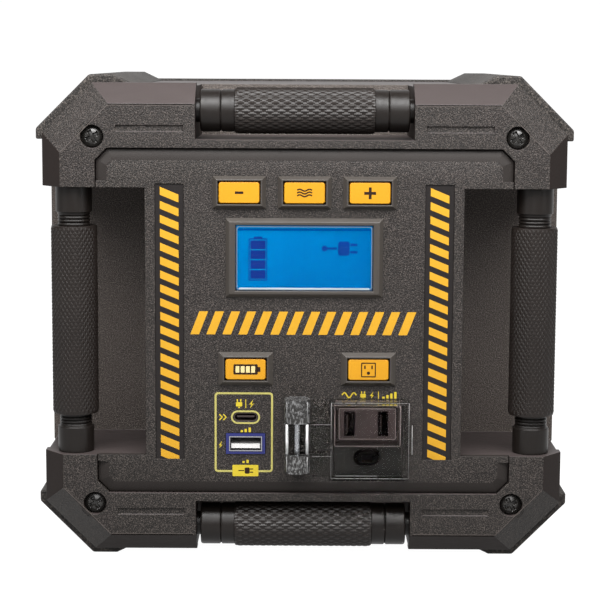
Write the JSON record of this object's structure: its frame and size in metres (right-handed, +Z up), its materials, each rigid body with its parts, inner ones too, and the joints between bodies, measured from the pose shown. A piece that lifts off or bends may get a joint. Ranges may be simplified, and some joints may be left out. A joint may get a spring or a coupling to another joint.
{
  "type": "jump starter pack",
  "caption": "Cube-like portable battery pack with tube grips round its front, a keyed panel with display, charging sockets and a covered mains outlet, and an air compressor inside.",
  "frame": {"origin": "on the resting surface, below the middle of the pack", "axes": "+X to the right seen from the front, +Y from the control panel back to the rear, +Z up"},
  "size_m": [0.205, 0.19, 0.186],
  "materials": {
    "case_plastic": "coarse moulded texture",
    "panel_plastic": "coarse moulded texture",
    "guard_rubber": "fine moulded texture",
    "black_screws": "black oxide",
    "grip_knurl": "knurled, black",
    "grip_metal": "satin black",
    "rim_plastic": "satin",
    "key_yellow": "satin",
    "display_glass": "backlit display",
    "clear_lens": "clear, polished",
    "inlay_black": "gloss",
    "port_steel": "bright",
    "port_blue": "satin",
    "port_white": "satin",
    "outlet_plastic": "satin",
    "contact_brass": "bright",
    "clear_cover": "clear, polished",
    "pin_steel": "bright",
    "board_green": "solder mask",
    "switch_black": "satin",
    "cell_can": "sleeved cell",
    "nickel": "bright",
    "core_iron": "varnished laminations",
    "heatsink_metal": "cast and milled",
    "motor_steel": "plated",
    "gland_black": "satin"
  },
  "bodies": {
    "case": {"battery_busbars": "nickel", "battery_cells": "cell_can", "battery_holders": "switch_black", "compressor_cylinder": "heatsink_metal", "compressor_frame": "heatsink_metal", "compressor_motor": "motor_steel", "control_board": "board_green", "control_panel": "panel_plastic", "corner_guard_bottom_left": "guard_rubber", "corner_guard_bottom_right": "guard_rubber", "corner_guard_top_left": "guard_rubber", "corner_guard_top_right": "guard_rubber", "cover_hinge_bracket": "clear_cover", "cover_hinge_pin": "pin_steel", "display_module": "display_glass", "display_rim": "rim_plastic", "display_window": "clear_lens", "fan_frame": "switch_black", "front_case_screws": "black_screws", "front_housing": "case_plastic", "grip_ferrules_bottom": "grip_metal", "grip_ferrules_left": "grip_metal", "grip_ferrules_right": "grip_metal", "grip_ferrules_top": "grip_metal", "grip_screws": "black_screws", "grip_sleeve_bottom": "grip_knurl", "grip_sleeve_left": "grip_knurl", "grip_sleeve_right": "grip_knurl", "grip_sleeve_top": "grip_knurl", "grip_tube_bottom": "grip_metal", "grip_tube_left": "grip_metal", "grip_tube_right": "grip_metal", "grip_tube_top": "grip_metal", "hazard_inlays": "inlay_black", "hose_gland": "gland_black", "inverter_board": "board_green", "inverter_capacitors": "switch_black", "inverter_heatsink": "heatsink_metal", "inverter_transformer": "core_iron", "key_surrounds": "rim_plastic", "key_switches": "switch_black", "lead_glands": "gland_black", "outlet_contacts": "contact_brass", "outlet_receptacle": "outlet_plastic", "rear_case_screws": "black_screws", "rear_housing": "case_plastic", "usb_a_insulator": "port_blue", "usb_a_shell": "port_steel", "usb_a_tongue": "port_white", "usb_c_port": "port_steel"},
    "minus_key": {"minus_key": "key_yellow"},
    "air_key": {"air_key": "key_yellow"},
    "plus_key": {"plus_key": "key_yellow"},
    "battery_key": {"battery_key": "key_yellow"},
    "outlet_key": {"outlet_key": "key_yellow"},
    "outlet_cover": {"outlet_cover": "clear_cover"},
    "fan_rotor": {"fan_rotor": "switch_black"},
    "compressor_gear": {"compressor_gear": "motor_steel"},
    "motor_pinion": {"motor_pinion": "motor_steel"},
    "compressor_piston": {"compressor_piston": "heatsink_metal"}
  },
  "joints": [
    {"name": "minus_press", "type": "slide", "parent": "case", "child": "minus_key", "axis": [0, 1, 0], "range_m": [0, 0.0008], "stiffness_N_per_m": 1200},
    {"name": "air_press", "type": "slide", "parent": "case", "child": "air_key", "axis": [0, 1, 0], "range_m": [0, 0.0008], "stiffness_N_per_m": 1200},
    {"name": "plus_press", "type": "slide", "parent": "case", "child": "plus_key", "axis": [0, 1, 0], "range_m": [0, 0.0008], "stiffness_N_per_m": 1200},
    {"name": "battery_press", "type": "slide", "parent": "case", "child": "battery_key", "axis": [0, 1, 0], "range_m": [0, 0.0008], "stiffness_N_per_m": 1200},
    {"name": "outlet_press", "type": "slide", "parent": "case", "child": "outlet_key", "axis": [0, 1, 0], "range_m": [0, 0.0008], "stiffness_N_per_m": 1200},
    {"name": "cover_hinge", "type": "hinge", "parent": "case", "child": "outlet_cover", "pos_m": [-0.0024, -0.0901, 0.05], "axis": [0, 0, -1], "range_deg": [0, 165]},
    {"name": "fan_spin", "type": "hinge", "parent": "case", "child": "fan_rotor", "pos_m": [0.05, 0.072, 0.133], "axis": [0, 1, 0], "continuous": true},
    {"name": "gear_spin", "type": "hinge", "parent": "case", "child": "compressor_gear", "pos_m": [-0.028, 0.0352, 0.118], "axis": [1, 0, 0], "continuous": true},
    {"name": "pinion_spin", "type": "hinge", "parent": "case", "child": "motor_pinion", "pos_m": [-0.028, 0.01, 0.118], "axis": [1, 0, 0], "continuous": true},
    {"name": "piston_stroke", "type": "slide", "parent": "case", "child": "compressor_piston", "axis": [0, 0, 1], "range_m": [0, 0.012]}
  ],
  "couplings": [
    {"joint": "pinion_spin", "follows": "gear_spin", "ratio": -3}
  ]
}
